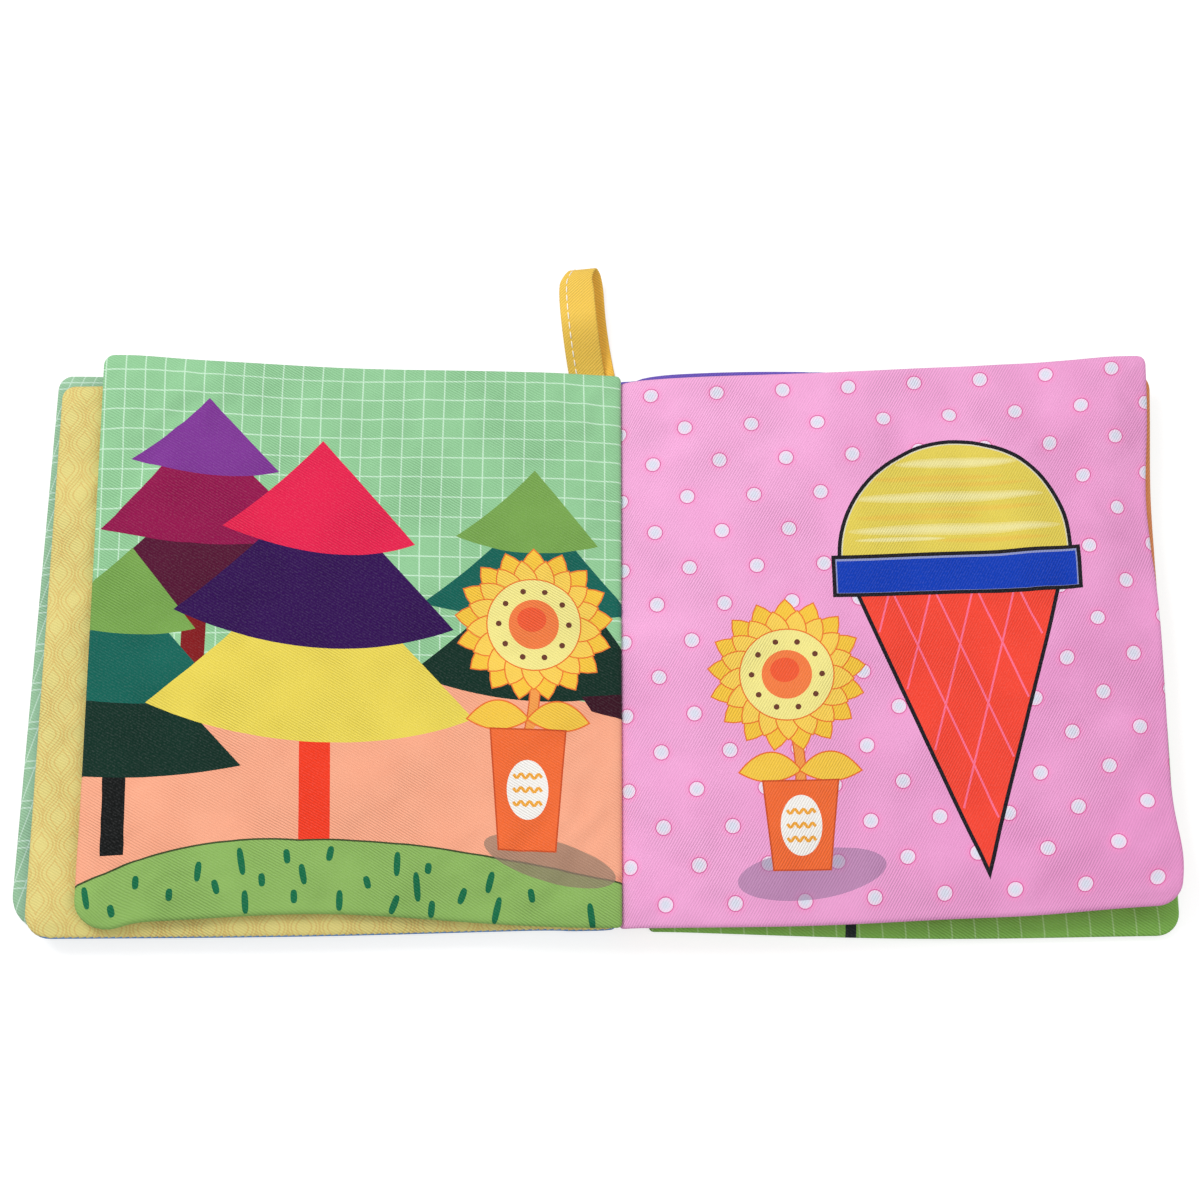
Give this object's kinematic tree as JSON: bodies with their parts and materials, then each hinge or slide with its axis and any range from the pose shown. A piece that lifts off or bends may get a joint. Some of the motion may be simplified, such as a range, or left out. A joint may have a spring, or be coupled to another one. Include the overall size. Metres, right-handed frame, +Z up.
{
  "type": "cloth book",
  "caption": "Infant's soft cloth book lying open and flat: padded printed leaves sewn to a cloth spine between two padded covers, with a ribbon hanging loop.",
  "frame": {"origin": "the middle of the spine's underside under the gutter, on the table", "axes": "+X to the reader's right across the open book, +Y towards the hanging loop, +Z up out of the pages"},
  "size_m": [0.3426, 0.2126, 0.0134],
  "materials": {
    "front_cover_cloth": "printed polyester twill, mint with a pale grid, matt",
    "left_page_cloth": "printed polyester twill, mint page over a yellow one, matt",
    "spine_cloth": "plain blue polyester twill, matt",
    "right_page_cloth": "printed polyester twill, pink page with pale dots, matt",
    "back_cover_cloth": "printed polyester twill, grass green with pale lines, matt",
    "ribbon": "yellow woven ribbon with white stitching, slight sheen"
  },
  "bodies": {
    "spine": {"spine": "spine_cloth", "hanging_loop": "ribbon"},
    "front_half": {"front_cover": "front_cover_cloth", "left_pages": "left_page_cloth"},
    "back_half": {"back_cover": "back_cover_cloth", "right_pages": "right_page_cloth"}
  },
  "joints": [
    {"name": "front_cover_hinge", "type": "hinge", "parent": "spine", "child": "front_half", "pos_m": [-0.00605, 0, 0.00765], "axis": [0, 1, 0], "range_deg": [0, 90]},
    {"name": "back_cover_hinge", "type": "hinge", "parent": "spine", "child": "back_half", "pos_m": [0.00605, 0, 0.00765], "axis": [0, -1, 0], "range_deg": [0, 90]}
  ]
}
